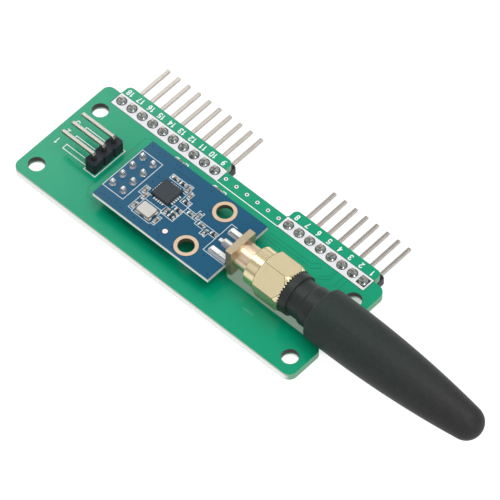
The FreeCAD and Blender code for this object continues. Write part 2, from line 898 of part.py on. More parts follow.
export("socket_solder", leg_solder())
export("coupling_nut", [coupling_nut()])
export("plug_ferrule", [plug_ferrule()])
export("plug_insulator", [plug_insulator()])
export("plug_pin", [plug_pin_contact()])
export("antenna_core", [antenna_core()])
export("antenna_coil", [antenna_coil()])
export("antenna_sleeve", [antenna_sleeve()])
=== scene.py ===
import math

import bpy
import numpy as np
from mathutils import Matrix


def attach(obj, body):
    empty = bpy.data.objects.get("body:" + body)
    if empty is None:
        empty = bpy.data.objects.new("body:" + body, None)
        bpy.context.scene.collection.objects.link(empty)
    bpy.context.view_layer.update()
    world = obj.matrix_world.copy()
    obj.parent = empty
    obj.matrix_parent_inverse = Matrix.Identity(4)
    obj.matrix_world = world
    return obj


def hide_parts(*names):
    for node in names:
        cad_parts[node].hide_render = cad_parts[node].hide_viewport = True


# Sizes are in millimetres, in the part's own frame: X towards the antenna's tip, Y towards the pins, Z up
MM = 0.001

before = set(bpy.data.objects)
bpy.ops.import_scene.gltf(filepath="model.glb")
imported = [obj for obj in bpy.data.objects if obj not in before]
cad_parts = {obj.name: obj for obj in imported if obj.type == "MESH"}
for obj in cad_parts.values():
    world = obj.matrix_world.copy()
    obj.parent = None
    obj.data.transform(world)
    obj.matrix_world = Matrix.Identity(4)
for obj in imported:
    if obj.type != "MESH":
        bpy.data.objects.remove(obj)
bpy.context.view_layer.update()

# Levels
carrier_top = 1.6
radio_bottom = 4.14
radio_top = 5.14
floor_level = -2.5
axis_level = 6.04

# Edge pin row
pitch = 2.54
row_y = 12.25
row_start = -29.21
long_ways = 10
bare_ways = 6
short_ways = 8

# Places of the other pins and holes
serial_x = -22.55
serial_y = 0.85
radio_strip_x = -14.6
radio_hole_x = 2.97
radio_hole_y = 4.95

# Connector, nut and antenna along X
radio_right = 10.7
flange_front = 12.1
nut_back = 15.35
hex_back = 17.8
nut_front = 23.75
collar_back = 23.8
core_front = 25.4
neck_front = 27.8
sleeve_back = 30.7
sleeve_front = 67.1

# Faces round a turned piece
round_steps = 120


def column(values):
    """Values as a column, so that they run down a grid's rows."""
    return np.asarray(values, float)[:, None]


def signed_volume(mesh):
    """Sum over the triangles of corner . (corner x corner) / 6."""
    mesh.calc_loop_triangles()
    spots = np.zeros(len(mesh.vertices) * 3)
    mesh.vertices.foreach_get("co", spots)
    corners = np.zeros(len(mesh.loop_triangles) * 3, np.int32)
    mesh.loop_triangles.foreach_get("vertices", corners)
    triangles = spots.reshape(-1, 3)[corners.reshape(-1, 3)]
    return float(np.sum(np.cross(triangles[:, 0], triangles[:, 1]) * triangles[:, 2]) / 6)


def make_piece(name, points, faces, finish, fold=180.0):
    """Closed mesh from points in millimetres, with its faces turned outwards, at the origin and riding on
    the fixed body. Edges that fold by more than an angle are shaded sharp, and an angle of none leaves
    every face flat."""
    mesh = bpy.data.meshes.new(name)
    mesh.from_pydata((np.asarray(points, float).reshape(-1, 3) * MM).tolist(), [], faces)
    mesh.validate()
    if signed_volume(mesh) < 0:
        mesh.flip_normals()
    mesh.polygons.foreach_set("use_smooth", np.full(len(mesh.polygons), fold > 0))
    if 0 < fold < 180:
        mesh.set_sharp_from_angle(angle=math.radians(fold))
    mesh.materials.append(finish)
    piece = bpy.data.objects.new(name, mesh)
    bpy.context.scene.collection.objects.link(piece)
    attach(piece, "root")
    return piece


def grid_faces(rows, columns, close_rows=False, copies=1, capped=False):
    """Quads of a grid of points whose rows are rings: each joins a point to the next in its row and to the
    two in the next row. Copies of the grid follow one another, and caps close the first and the last ring
    of each."""
    row = np.arange(rows if close_rows else rows - 1)[:, None]
    here = np.arange(columns)[None, :]
    there = (here + 1) % columns
    this_row = row * columns
    next_row = (row + 1) % rows * columns
    corners = [this_row + here, this_row + there, next_row + there, next_row + here]
    quads = np.stack(corners, -1).reshape(-1, 4)
    last_row = (rows - 1) * columns
    faces = []
    for copy in range(copies):
        start = copy * rows * columns
        faces += (quads + start).tolist()
        if capped:
            faces.append(list(range(start + columns - 1, start - 1, -1)))
            faces.append(list(range(start + last_row, start + last_row + columns)))
    return faces


def full_turn(steps):
    """Angles of equal steps round a circle."""
    return np.linspace(0, 2 * np.pi, steps, endpoint=False)


def round_axis(along, radius, turn):
    """Points round the connector's axis: y = -radius sin(turn), z = axis + radius cos(turn)."""
    y = -radius * np.sin(turn)
    z = axis_level + radius * np.cos(turn)
    return np.stack(np.broadcast_arrays(along, y, z), -1)


def rounded_profile(corners):
    """Profile through (along, radius, rounding) corners: near each corner the line follows a curve that
    starts and ends one rounding away from it, the mean of its two legs weighted by (1-t) squared and t
    squared."""
    corners = np.asarray(corners, float)
    middle = corners[1:-1, :2]
    rounding = corners[1:-1, 2:]
    before = corners[:-2, :2] - middle
    after = corners[2:, :2] - middle
    before_length = np.linalg.norm(before, axis=1, keepdims=True)
    after_length = np.linalg.norm(after, axis=1, keepdims=True)
    back = middle + before / before_length * np.minimum(rounding, before_length * 0.45)
    ahead = middle + after / after_length * np.minimum(rounding, after_length * 0.45)
    bend_steps = 5
    t = np.linspace(0, 1, bend_steps)[None, :, None]
    curve = (1 - t) ** 2 * back[:, None] + 2 * t * (1 - t) * middle[:, None] + t ** 2 * ahead[:, None]
    return np.concatenate([corners[:1, :2], curve.reshape(-1, 2), corners[-1:, :2]])


def turned(name, profile, finish, closed=False):
    """Profile of (along X, radius) carried round the connector's axis: y = radius cos(turn), z = axis +
    radius sin(turn). An open profile ends on the axis in a fan at each end."""
    profile = np.asarray(profile, float)
    turn = full_turn(round_steps)[None, :]
    along = column(profile[:, 0]) + 0 * turn
    radius = column(profile[:, 1])
    points = np.stack([along, radius * np.cos(turn), axis_level + radius * np.sin(turn)], -1).reshape(-1, 3)
    faces = grid_faces(len(profile), round_steps, close_rows=closed)
    if not closed:
        count = len(points)
        ends = [[profile[0, 0], 0, axis_level], [profile[-1, 0], 0, axis_level]]
        points = np.concatenate([points, ends])
        here = np.arange(round_steps)
        there = (here + 1) % round_steps
        last = count - round_steps
        faces += np.stack([there, here, np.full(round_steps, count)], -1).tolist()
        faces += np.stack([last + here, last + there, np.full(round_steps, count + 1)], -1).tolist()
    return make_piece(name, points, faces, finish, fold=32.0)


def cut_bar(name, rows, sides, flat, finish, turned_by=0.0):
    """Bar along the connector's axis with flat sides. A row of (along, lean, radius) with a radius is a
    circle at its place. With no radius it follows the flats: r = flat / cos(turn - middle of the side),
    moved along by lean (r - flat), which is where a cone cuts the flats. The rows close on themselves
    through the bore."""
    steps_per_side = 24
    steps = sides * steps_per_side
    side_angle = 2 * np.pi / sides
    turn = np.arange(steps) * 2 * np.pi / steps + np.pi / sides
    from_middle = (turn + side_angle / 2) % side_angle - side_angle / 2
    flats = flat / np.cos(from_middle)[None, :]
    along, lean, radius = [column(values) for values in zip(*rows)]
    outer = np.where(radius > 0, radius, flats)
    points = round_axis(along + lean * (outer - flat), outer, turn[None, :] + math.radians(turned_by))
    return make_piece(name, points, grid_faces(len(rows), steps, close_rows=True), finish, fold=20.0)


def toothed_ring(name, low, high, radius, depth, teeth, finish):
    """Ring round the connector's axis whose outside is r = radius - depth (1 - cos(teeth turn)) / 2."""
    steps = teeth * 6
    turn = full_turn(steps)[None, :]
    wave = radius - depth * (1 - np.cos(teeth * turn)) / 2
    inner = 0 * turn + radius - 2 * depth
    points = round_axis(column([low, low, high, high]), np.concatenate([inner, wave, wave, inner]), turn)
    return make_piece(name, points, grid_faces(4, steps, close_rows=True), finish, fold=40.0)


def rounded_blocks(name, lows, highs, edge, finish):
    """Blocks with round edges: each point is the corner of an inner block that a direction points at, plus
    the edge radius along that direction; the directions run over a sphere."""
    lows = np.asarray(lows, float)
    highs = np.asarray(highs, float)
    bend = 5
    quarter = np.linspace(0, np.pi / 2, bend)
    turn = (np.arange(4)[:, None] * np.pi / 2 + quarter[None, :]).ravel()
    lift = column(np.concatenate([quarter - np.pi / 2, quarter]))
    way = np.stack([np.cos(lift) * np.cos(turn), np.cos(lift) * np.sin(turn), np.sin(lift) + 0 * turn], -1)
    side_x = np.repeat([1, -1, -1, 1], bend)
    side_y = np.repeat([1, 1, -1, -1], bend)
    side_z = np.repeat([-1, 1], bend)[:, None]
    corner = np.stack(np.broadcast_arrays(side_x, side_y, side_z), -1)
    middle = ((lows + highs) / 2)[:, None, None, :]
    half = ((highs - lows) / 2 - edge)[:, None, None, :]
    faces = grid_faces(2 * bend, 4 * bend, copies=len(lows), capped=True)
    return make_piece(name, middle + half * corner + edge * way, faces, finish, fold=40.0)


def print_strokes(name, strokes, width, level, height, finish):
    """Flat printed strokes: each (x0, y0, x1, y1) is a slab half a width to either side of its line, as
    high above the level as below it, and half a width longer at each end. The heights differ a little, by
    steps of the golden share, so that no two slabs share a top face where they cross."""
    strokes = np.asarray(strokes, float)
    start = strokes[:, :2]
    end = strokes[:, 2:4]
    way = end - start
    way = way / np.maximum(np.linalg.norm(way, axis=1, keepdims=True), 1e-9)
    side = np.stack([-way[:, 1], way[:, 0]], -1)
    half = width / 2
    corners = np.stack([
        start - way * half - side * half,
        end + way * half - side * half,
        end + way * half + side * half,
        start - way * half + side * half,
    ], 1)
    golden = 0.618
    share = (np.arange(len(strokes)) * golden) % 1.0
    lift = np.broadcast_to((height * (0.7 + 0.5 * share))[:, None, None], corners.shape[:2] + (1,))
    low = np.concatenate([corners, level - lift], -1)
    high = np.concatenate([corners, level + lift], -1)
    points = np.concatenate([low, high], 1)
    box_faces = np.array([
        [3, 2, 1, 0], [4, 5, 6, 7], [0, 1, 5, 4], [1, 2, 6, 5], [2, 3, 7, 6], [3, 0, 4, 7]
    ])
    faces = (box_faces[None] + 8 * np.arange(len(strokes))[:, None, None]).reshape(-1, 4).tolist()
    return make_piece(name, points, faces, finish, fold=0)


def joined(lines):
    """Strokes between the neighbouring points of each line."""
    return [(*start, *end) for line in lines for start, end in zip(line, line[1:])]


def ring_points(centres, radius, level, steps):
    """Rings round each centre, one for each radius and level."""
    centres = np.asarray(centres, float)
    turn = full_turn(steps)
    x = centres[:, 0, None, None] + column(radius) * np.cos(turn)
    y = centres[:, 1, None, None] + column(radius) * np.sin(turn)
    return np.stack([x, y, column(level) + 0 * x], -1)


def tubes(name, centres, outer, inner, low, high, finish):
    """Upright tubes round centres, each a band of four rings: out, up, in and down again."""
    steps = 48
    points = ring_points(centres, [outer, outer, inner, inner], [low, high, high, low], steps)
    faces = grid_faces(4, steps, close_rows=True, copies=len(centres))
    return make_piece(name, points, faces, finish, fold=40.0)


def flat_rings(name, centres, outer, inner, level, height, finish, steps=48):
    """Flat rings round centres: a band between two radii, a height thick above and below the level, with
    its rim rounded down at the outside."""
    radius = [inner, inner, outer - height, outer, outer]
    lift = np.array([-height, height, height, height * 0.4, -height])
    faces = grid_faces(5, steps, close_rows=True, copies=len(centres))
    return make_piece(name, ring_points(centres, radius, level + lift, steps), faces, finish, fold=0)


def solder_fillets(name, centres, foot, neck, height, level, finish, down=False):
    """Solder drawn up a pin: the radius falls from the foot to the neck as the power 1.9 of what is left of
    the climb, and turns from a circle to a rounded square as it nears the pin; each fillet leans and climbs
    a little differently."""
    centres = np.asarray(centres, float)
    count = len(centres)
    levels = 9
    steps = 24
    climb = np.linspace(0, 1, levels)[None, :, None]
    turn = full_turn(steps)[None, None, :]
    chance = np.random.default_rng(7)
    tall = chance.uniform(0.86, 1.0, (count, 1, 1))
    lean = chance.uniform(0, 2 * np.pi, (count, 1, 1))
    square = (np.abs(np.cos(turn)) ** 6 + np.abs(np.sin(turn)) ** 6) ** (-1 / 6)
    radius = (neck + (foot - neck) * (1 - climb) ** 1.9) * (1 + (square - 1) * climb ** 2)
    radius = radius * (1 + 0.035 * np.cos(turn * 3 + lean * 5) * (1 - climb))
    rise = np.minimum(height * tall * (climb + 0.06 * np.cos(turn + lean) * climb), height)
    x = centres[:, 0, None, None] + radius * np.cos(turn)
    y = centres[:, 1, None, None] + radius * np.sin(turn)
    z = level + (-rise if down else rise) + 0 * radius
    faces = grid_faces(levels, steps, copies=count, capped=True)
    return make_piece(name, np.stack([x, y, z], -1), faces, finish, fold=60.0)


# Places of everything that repeats
ways = np.arange(long_ways + bare_ways + short_ways)
row_x = row_start + ways * pitch
long_x = row_x[:long_ways]
bare_x = row_x[long_ways:long_ways + bare_ways]
short_x = row_x[long_ways + bare_ways:]
edge_centres = [(x, row_y) for x in np.concatenate([long_x, short_x])]
radio_centres = [
    (radio_strip_x + side * pitch / 2, (way - 1.5) * pitch) for side in (-1, 1) for way in range(4)
]
serial_centres = [(serial_x, serial_y + (way - 1) * pitch) for way in range(3)]


# Materials


def feed(tree, socket, value):
    """Gives a socket a plain value, or links another node's output to it."""
    if isinstance(value, bpy.types.NodeSocket):
        tree.links.new(value, socket)
    else:
        socket.default_value = value


def calculate(tree, operation, *values):
    """Result of a sum on numbers or other nodes' outputs."""
    node = tree.nodes.new("ShaderNodeMath")
    node.operation = operation
    for socket, value in zip(node.inputs, values):
        feed(tree, socket, value)
    return node.outputs[0]


def calculate_vector(tree, operation, *values, result="Vector"):
    """Result of a sum on vectors or other nodes' outputs."""
    node = tree.nodes.new("ShaderNodeVectorMath")
    node.operation = operation
    for socket, value in zip(node.inputs, values):
        feed(tree, socket, value)
    return node.outputs[result]


def climb_between(tree, value, low, high, bottom=0.0, top=1.0, smooth=False):
    """Number that goes from the bottom to the top as a value goes from low to high."""
    node = tree.nodes.new("ShaderNodeMapRange")
    node.interpolation_type = "SMOOTHSTEP" if smooth else "LINEAR"
    feed(tree, node.inputs["Value"], value)
    for name, number in (("From Min", low), ("From Max", high), ("To Min", bottom), ("To Max", top)):
        feed(tree, node.inputs[name], number)
    return node.outputs["Result"]


def blend_between(tree, share, first, second, kind="RGBA"):
    """Mix of two colours, or of two numbers, by a share."""
    node = tree.nodes.new("ShaderNodeMix")
    node.data_type = kind
    for name, value in (("Factor", share), ("A", first), ("B", second)):
        feed(tree, node.inputs[name], value)
    return node.outputs["Result"]


def along_axis(tree, vector, axis):
    """One part of a vector."""
    split = tree.nodes.new("ShaderNodeSeparateXYZ")
    feed(tree, split.inputs[0], vector)
    return split.outputs[axis]


def grain_group():
    """Fine grain on a surface: a tone that varies round one, and a height for bumps."""
    group = bpy.data.node_groups.new("surface_grain", "ShaderNodeTree")
    for name, value in (("Size", 1000.0), ("Depth", 0.1)):
        socket = group.interface.new_socket(name, in_out="INPUT", socket_type="NodeSocketFloat")
        socket.default_value = value
    for name in ("Tone", "Height"):
        group.interface.new_socket(name, in_out="OUTPUT", socket_type="NodeSocketFloat")
    entry = group.nodes.new("NodeGroupInput")
    leave = group.nodes.new("NodeGroupOutput")
    place = group.nodes.new("ShaderNodeTexCoord")
    noise = group.nodes.new("ShaderNodeTexNoise")
    feed(group, noise.inputs["Vector"], place.outputs["Object"])
    feed(group, noise.inputs["Scale"], entry.outputs["Size"])
    feed(group, noise.inputs["Detail"], 3.0)
    spread = calculate(group, "SUBTRACT", noise.outputs["Fac"], 0.5)
    feed(group, leave.inputs["Tone"], calculate(group, "MULTIPLY_ADD", spread, entry.outputs["Depth"], 1.0))
    feed(group, leave.inputs["Height"], noise.outputs["Fac"])
    return group


grain = grain_group()


def new_material(name, roughness, specular):
    """Empty material with its node tree and shader."""
    material = bpy.data.materials.new(name)
    material.use_nodes = True
    shader = material.node_tree.nodes["Principled BSDF"]
    feed(material.node_tree, shader.inputs["Roughness"], roughness)
    feed(material.node_tree, shader.inputs["Specular IOR Level"], specular)
    return material, material.node_tree, shader


def speckled(tree, colour, size, depth):
    """Colour that the grain lightens and darkens a little, and the grain's height."""
    speckle = tree.nodes.new("ShaderNodeGroup")
    speckle.node_tree = grain
    feed(tree, speckle.inputs["Size"], size)
    feed(tree, speckle.inputs["Depth"], depth)
    tint = tree.nodes.new("ShaderNodeVectorMath")
    tint.name = "tint"
    tint.operation = "SCALE"
    feed(tree, tint.inputs[0], colour)
    feed(tree, tint.inputs["Scale"], speckle.outputs["Tone"])
    return tint.outputs["Vector"], speckle.outputs["Height"]


def plain_finish(name, colour, roughness, metallic=0.0, size=900.0, depth=0.2, bump=0.02, specular=0.3):
    """Speckled colour with a fine bump."""
    material, tree, shader = new_material(name, roughness, specular)
    feed(tree, shader.inputs["Metallic"], metallic)
    tone, height = speckled(tree, colour, size, depth)
    feed(tree, shader.inputs["Base Color"], tone)
    if bump:
        relief = tree.nodes.new("ShaderNodeBump")
        feed(tree, relief.inputs["Strength"], bump)
        feed(tree, relief.inputs["Distance"], 0.05 * MM)
        feed(tree, relief.inputs["Height"], height)
        feed(tree, shader.inputs["Normal"], relief.outputs["Normal"])
    return material


def drift(material, from_x, to_x, from_colour, to_colour):
    """Lets a plain finish go from one colour to another between two places along X."""
    tree = material.node_tree
    place = tree.nodes.new("ShaderNodeTexCoord")
    share = climb_between(tree, along_axis(tree, place.outputs["Object"], "X"), from_x * MM, to_x * MM)
    feed(tree, tree.nodes["tint"].inputs[0], blend_between(tree, share, (*from_colour, 1), (*to_colour, 1)))


def board_finish(name, mask_colour, edge_colour, low, high, painted_end_shade_colour):
    """Solder mask on both faces of a board and bare glass-epoxy on its edges: the height over the board
    picks which. Weave lines cross the edge; its lower part is painted paler, as painted light from below,
    and where it faces right it is painted in a colour of its own, as painted shade."""
    mask_roughness = 0.2
    edge_roughness = 0.7
    # Pale colour of the painted light on the lower part of the edge
    pale = (0.93, 0.93, 0.9, 1)
    thick = high - low
    material, tree, shader = new_material(name, mask_roughness, 0.3)
    place = tree.nodes.new("ShaderNodeTexCoord")
    level = along_axis(tree, place.outputs["Object"], "Z")
    away = calculate(tree, "ABSOLUTE", calculate(tree, "SUBTRACT", level, (low + high) / 2 * MM))
    mask = climb_between(tree, away, (thick / 2 - 0.09) * MM, (thick / 2 - 0.05) * MM)
    layers = tree.nodes.new("ShaderNodeTexWave")
    layers.wave_type = "BANDS"
    layers.bands_direction = "Z"
    feed(tree, layers.inputs["Scale"], 2200.0)
    feed(tree, layers.inputs["Distortion"], 1.5)
    feed(tree, layers.inputs["Vector"], place.outputs["Object"])
    darker = [0.82 * part for part in edge_colour]
    edge = blend_between(tree, layers.outputs["Fac"], (*edge_colour, 1), (*darker, 1))
    # Painted light: the edge is blended towards pale in its lower part
    climb = climb_between(tree, level, (low + 0.5 * thick) * MM, (low + 0.8 * thick) * MM)
    edge = blend_between(tree, climb, pale, edge)
    # Painted shade: where the edge faces right it takes the painted end shade colour
    right = climb_between(tree, along_axis(tree, place.outputs["Normal"], "X"), 0.1, 0.7)
    edge = blend_between(tree, right, edge, (*painted_end_shade_colour, 1))
    tone = speckled(tree, mask_colour, 160.0, 0.18)[0]
    feed(tree, shader.inputs["Base Color"], blend_between(tree, mask, edge, tone))
    gloss = blend_between(tree, mask, edge_roughness, mask_roughness, kind="FLOAT")
    feed(tree, shader.inputs["Roughness"], gloss)
    return material


# The last colour of each board is the painted shade of its edges that face right; on the radio board it is
# the edge colour itself
carrier_mask = board_finish(
    "carrier_mask", (0.001, 0.258, 0.133), (0.52, 0.58, 0.5), 0.0, carrier_top, (0.15, 0.34, 0.21)
)
radio_mask = board_finish(
    "radio_mask", (0.003, 0.069, 0.137), (0.5, 0.5, 0.46), radio_bottom, radio_top, (0.5, 0.5, 0.46)
)
black_plastic = plain_finish(
    "black_plastic", (0.013, 0.016, 0.023), 0.4, size=2500.0, depth=0.3, specular=0.2
)
core_plastic = plain_finish("core_plastic", (0.0135, 0.0192, 0.0175), 0.42, size=2500.0, depth=0.3)
sleeve_rubber = plain_finish(
    "sleeve_rubber", (0.021, 0.028, 0.028), 0.48, size=1500.0, depth=0.5, bump=0.35, specular=0.13
)
drift(sleeve_rubber, 32.0, 62.0, (0.0205, 0.0305, 0.0275), (0.0262, 0.0252, 0.026))
# Lighter rubber for a painted highlight along the sleeve's back rim
painted_rim_highlight = plain_finish("painted_rim_highlight", (0.06, 0.07, 0.066), 0.5, size=1500.0, depth=0.35)
pin_metal = plain_finish("pin_metal", (0.38, 0.35, 0.31), 0.3, metallic=1.0, depth=0.05, bump=0.0)
solder_tin = plain_finish(
    "solder_tin", (0.43, 0.46, 0.45), 0.26, metallic=0.9, size=1500.0, depth=0.5, bump=0.5
)
lead_tin = plain_finish("lead_tin", (0.86, 0.86, 0.83), 0.35, metallic=0.25, bump=0.0)
chip_tin = plain_finish(
    "chip_tin", (0.46, 0.46, 0.45), 0.3, metallic=1.0, size=2000.0, depth=0.5, bump=0.4
)
leg_solder = plain_finish("leg_solder", (0.56, 0.57, 0.58), 0.35, metallic=0.5, depth=0.3, bump=0.1)
radio_solder = plain_finish(
    "radio_solder", (0.56, 0.56, 0.56), 0.24, metallic=0.75, size=1500.0, bump=0.3, specular=0.6
)
leg_tin = plain_finish("leg_tin", (0.64, 0.64, 0.61), 0.32, metallic=0.6, size=700.0, bump=0.1)
gold_plate = plain_finish("gold_plate", (0.77, 0.665, 0.41), 0.22, metallic=0.9, size=500.0, depth=0.1)
socket_gold = plain_finish(
    "socket_gold", (0.76, 0.6, 0.42), 0.32, metallic=1.0, size=500.0, depth=0.08, bump=0.0
)
# A darker copy of the socket's gold for the flange: painted shade
flange_shaded_gold = plain_finish(
    "flange_shaded_gold", (0.43, 0.35, 0.235), 0.34, metallic=0.8, size=700.0, depth=0.1, bump=0.01
)
# Dark colour of the painted reflection along the nut's folds
fold_dark_reflection = plain_finish("fold_dark_reflection", (0.17, 0.13, 0.07), 0.6, metallic=0.2, bump=0.0)
ring_gold = plain_finish("ring_gold", (0.53, 0.4, 0.29), 0.42, metallic=0.5, bump=0.05)
# Near-black brown for the carrier's mounting hole walls, painted shade
mount_wall_shade = plain_finish("mount_wall_shade", (0.024, 0.019, 0.015), 0.5, bump=0.0)
# A darker copy of the rings' plating for the radio board's hole walls: partly plating, partly painted shade
plated_wall_shade = plain_finish("plated_wall_shade", (0.12, 0.1, 0.06), 0.4, metallic=0.4, bump=0.0)
white_insulator = plain_finish("white_insulator", (0.82, 0.82, 0.8), 0.4)
chip_black = plain_finish("chip_black", (0.02, 0.028, 0.034), 0.5, size=3000.0, depth=0.35, bump=0.1)
lid_metal = plain_finish(
    "lid_metal", (0.45, 0.44, 0.41), 0.4, metallic=0.5, size=1500.0, depth=0.15, bump=0.1
)
tray_ceramic = plain_finish("tray_ceramic", (0.2, 0.17, 0.13), 0.5)
capacitor_ceramic = plain_finish("capacitor_ceramic", (0.22, 0.165, 0.115), 0.4, depth=0.3)
inductor_ceramic = plain_finish("inductor_ceramic", (0.16, 0.19, 0.165), 0.4, depth=0.4)
resistor_black = plain_finish("resistor_black", (0.02, 0.022, 0.026), 0.35)
coil_wire = plain_finish("coil_wire", (0.55, 0.55, 0.55), 0.35, metallic=1.0)
print_white = plain_finish("print_white", (0.72, 0.76, 0.77), 0.55, depth=0.1, bump=0.0)
print_pale = plain_finish("print_pale", (0.62, 0.63, 0.65), 0.55, depth=0.1, bump=0.0)
print_faint = plain_finish("print_faint", (0.5, 0.57, 0.59), 0.55, depth=0.2, bump=0.0)
mask_gap = plain_finish("mask_gap", (0.01, 0.016, 0.018), 0.25, bump=0.0)
trace_green = plain_finish("trace_green", (0.001, 0.17, 0.09), 0.2, bump=0.0)
mask_shade = plain_finish("mask_shade", (0.002, 0.12, 0.065), 0.2, bump=0.0)
trace_blue = plain_finish("trace_blue", (0.001, 0.045, 0.09), 0.2, bump=0.0)
via_blue = plain_finish("via_blue", (0.001, 0.02, 0.04), 0.2, bump=0.0)
scratch_grey = plain_finish("scratch_grey", (0.12, 0.42, 0.28), 0.5, bump=0.0)
dot_pink = plain_finish("dot_pink", (0.74, 0.64, 0.62), 0.5, bump=0.0)
# Dark discs over the middles of the bare holes, painted shade
hole_middle_shade = plain_finish("hole_middle_shade", (0.02, 0.018, 0.014), 0.6, bump=0.0)

finishes = {
    "carrier_board": carrier_mask,
    "radio_board": radio_mask,
    "edge_strip_long": black_plastic,
    "edge_strip_short": black_plastic,
    "serial_strip": black_plastic,
    "radio_strip": black_plastic,
    "edge_pins_long": pin_metal,
    "edge_pins_short": pin_metal,
    "serial_pins": pin_metal,
    "radio_strip_pins": radio_solder,
    "edge_solder": solder_tin,
    "radio_strip_solder": solder_tin,
    "tail_solder": solder_tin,
    "socket_solder": leg_solder,
    "chip_pads": chip_tin,
    "carrier_chip_pads": chip_tin,
    "crystal_pads": chip_tin,
    "radio_chip": chip_black,
    "radio_chip_leads": lead_tin,
    "crystal_tray": tray_ceramic,
    "crystal_lid": lid_metal,
    "capacitor_bodies": capacitor_ceramic,
    "capacitor_caps": chip_tin,
    "inductor_bodies": inductor_ceramic,
    "inductor_caps": chip_tin,
    "resistor_bodies": resistor_black,
    "resistor_caps": chip_tin,
    "carrier_chip_bodies": capacitor_ceramic,
    "carrier_chip_caps": chip_tin,
    "socket_body": socket_gold,
    "socket_insulator": white_insulator,
    "socket_contact": leg_tin,
    "coupling_nut": gold_plate,
    "plug_ferrule": gold_plate,
    "plug_insulator": white_insulator,
    "plug_pin": gold_plate,
    "antenna_core": core_plastic,
    "antenna_coil": coil_wire,
    "antenna_sleeve": sleeve_rubber,
}
for node_name, finish in finishes.items():
    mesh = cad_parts[node_name].data
    mesh.materials.clear()
    mesh.materials.append(finish)


def bevel_folds(piece, name, degrees, width):
    """Narrow bevel along the edges that fold by more than an angle."""
    bevel = piece.modifiers.new(name, "BEVEL")
    bevel.limit_method = "ANGLE"
    bevel.angle_limit = math.radians(degrees)
    bevel.width = width * MM
    bevel.segments = 2
    return bevel


def break_edges(node_name, width):
    """Merged copy of a part's loose triangles with its folds bevelled, all done by modifiers."""
    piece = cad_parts[node_name]
    weld = piece.modifiers.new("weld", "WELD")
    weld.merge_threshold = 0.001 * MM
    bevel_folds(piece, "edges", 35, width)


for node_name in ("edge_pins_long", "edge_pins_short", "serial_pins", "radio_strip_pins"):
    break_edges(node_name, 0.06)
for node_name in ("edge_strip_long", "edge_strip_short", "serial_strip", "radio_strip"):
    break_edges(node_name, 0.07)
for node_name in ("capacitor_caps", "inductor_caps", "resistor_caps", "carrier_chip_caps"):
    break_edges(node_name, 0.05)
for node_name in ("radio_chip", "crystal_lid", "crystal_tray"):
    break_edges(node_name, 0.04)


# Antenna, nut and connector


def sleeve_piece():
    """Rubber sleeve. From its rounded back rim it runs straight, then r = R cos(lean) - (R - full) along a
    long curve of radius R, until a ball centred on the axis takes over at the tip; the bore is closed
    inside."""
    full = 5.16
    curve = 212.0
    swell = sleeve_back + 4.8
    drop = curve - full
    reach = sleeve_front - swell
    ball = (curve ** 2 - drop ** 2 - reach ** 2) / (2 * (curve - reach))
    lean_end = math.atan2(sleeve_front - ball - swell, drop)
    rim = rounded_profile([
        (sleeve_back + 24.0, 0.001, 0),
        (sleeve_back + 24.0, 3.1, 0.3),
        (sleeve_back, 3.1, 0.2),
        (sleeve_back, full, 0.5),
        (sleeve_back + 3.0, full, 0),
    ])
    lean = np.linspace(0.0, lean_end, 60)
    body = np.stack([swell + curve * np.sin(lean), curve * np.cos(lean) - drop], -1)
    tip = np.linspace(lean_end, np.pi / 2, 26)[1:-1]
    end = np.stack([sleeve_front - ball + ball * np.sin(tip), ball * np.cos(tip)], -1)
    profile = np.concatenate([rim, body, end, [[sleeve_front, 0.02]]])
    piece = turned("antenna_sleeve_rubber", profile, sleeve_rubber)
    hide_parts("antenna_sleeve")
    # A thin ring of lighter rubber along the back rim's edge is a painted highlight
    edge_in = 0.125
    edge_radius = 0.035
    edge_turn = full_turn(8)
    edge_x = sleeve_back + edge_in + edge_radius * np.cos(edge_turn)
    edge_y = full - edge_in + edge_radius * np.sin(edge_turn)
    turned("antenna_sleeve_rim_highlight", np.stack([edge_x, edge_y], -1), painted_rim_highlight, closed=True)


def core_piece():
    """Moulded core: rounded collar, neck, root and stem, turned from one profile."""
    profile = rounded_profile([
        (26.8, 0.001, 0),
        (26.8, 2.72, 0.05),
        (collar_back, 2.72, 0.05),
        (collar_back, 4.08, 0.18),
        (core_front, 4.08, 0.2),
        (core_front, 3.6, 0.12),
        (neck_front, 3.6, 0.3),
        (neck_front + 0.3, 3.9, 0.4),
        (sleeve_back - 0.02, 3.9, 0.05),
        (sleeve_back - 0.02, 2.2, 0.05),
        (sleeve_back + 22.0, 2.2, 0.3),
        (sleeve_back + 22.0, 0.001, 0),
    ])
    piece = turned("antenna_core_moulding", profile, core_plastic)
    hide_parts("antenna_core")
    toothed_ring(
        "antenna_collar_teeth", collar_back - 0.22, collar_back + 0.1, 4.2, 0.3, 40,
        core_plastic
    )


def thin_lines(name, paths, radius, finish):
    """Round thin lines: each point of a path becomes a ring of the radius, square to the way from the point
    before to the point after. All paths have the same number of points and turn round the axis or run along
    it."""
    steps = 8
    paths = np.asarray(paths, float)
    way = np.gradient(paths, axis=1)
    way = way / np.linalg.norm(way, axis=2, keepdims=True)
    outside = paths - [0, 0, axis_level]
    outside[..., 0] = 0
    outside = outside - way * np.sum(outside * way, axis=2, keepdims=True)
    outside = outside / np.linalg.norm(outside, axis=2, keepdims=True)
    across = np.cross(way, outside)
    turn = full_turn(steps)[None, None, :, None]
    ring = np.cos(turn) * outside[:, :, None] + np.sin(turn) * across[:, :, None]
    points = paths[:, :, None] + radius * ring
    faces = grid_faces(paths.shape[1], steps, copies=len(paths), capped=True)
    return make_piece(name, points, faces, finish)


